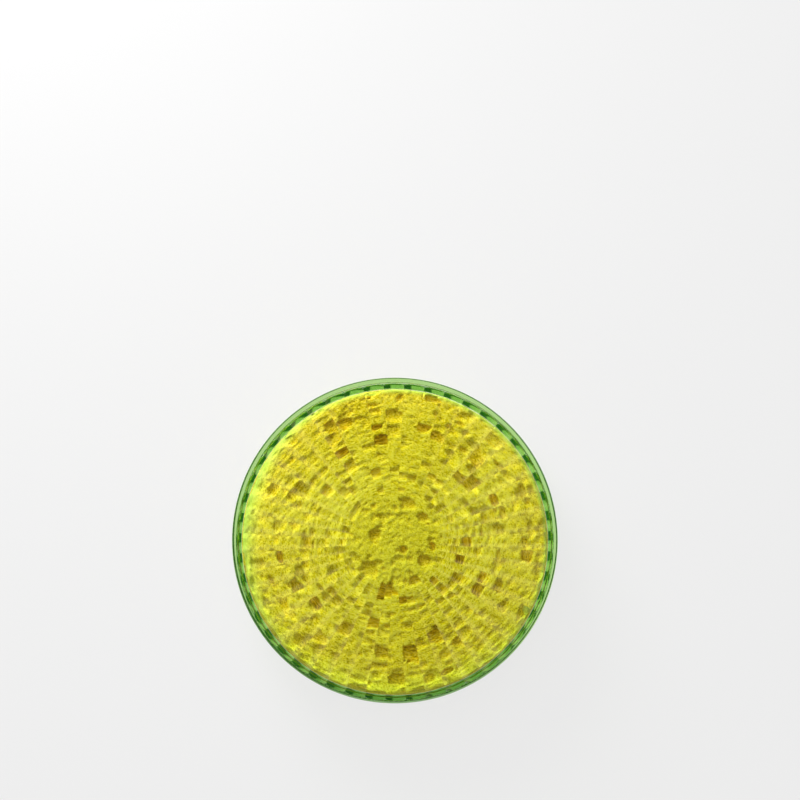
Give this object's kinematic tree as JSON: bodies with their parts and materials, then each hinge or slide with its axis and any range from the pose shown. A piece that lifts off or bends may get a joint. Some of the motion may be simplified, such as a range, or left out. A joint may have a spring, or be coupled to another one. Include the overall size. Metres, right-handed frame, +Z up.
{
  "type": "finger moistener",
  "caption": "Round moistening box: a sponge stands in a shallow see-through dish under a deep lift-off cover with a reeded top, for damping fingertips or slates.",
  "frame": {"origin": "on the desk under the middle of the dish", "axes": "+Z up along the axis of the dish and the cover, +Y towards the top of the picture"},
  "size_m": [0.07, 0.07, 0.0202],
  "materials": {
    "dish_plastic": "polished see-through green moulding",
    "cover_plastic": "polished see-through green moulding",
    "cellulose_sponge": "open-pored yellow cellulose"
  },
  "bodies": {
    "dish": {"base_dish": "dish_plastic"},
    "sponge": {"sponge": "cellulose_sponge"},
    "cover": {"cover": "cover_plastic"}
  },
  "joints": [
    {"name": "sponge_lift", "type": "slide", "parent": "dish", "child": "sponge", "axis": [0, 0, 1], "range_m": [0, 0.025]},
    {"name": "cover_lift", "type": "slide", "parent": "sponge", "child": "cover", "axis": [0, 0, 1], "range_m": [0, 0.045]}
  ]
}
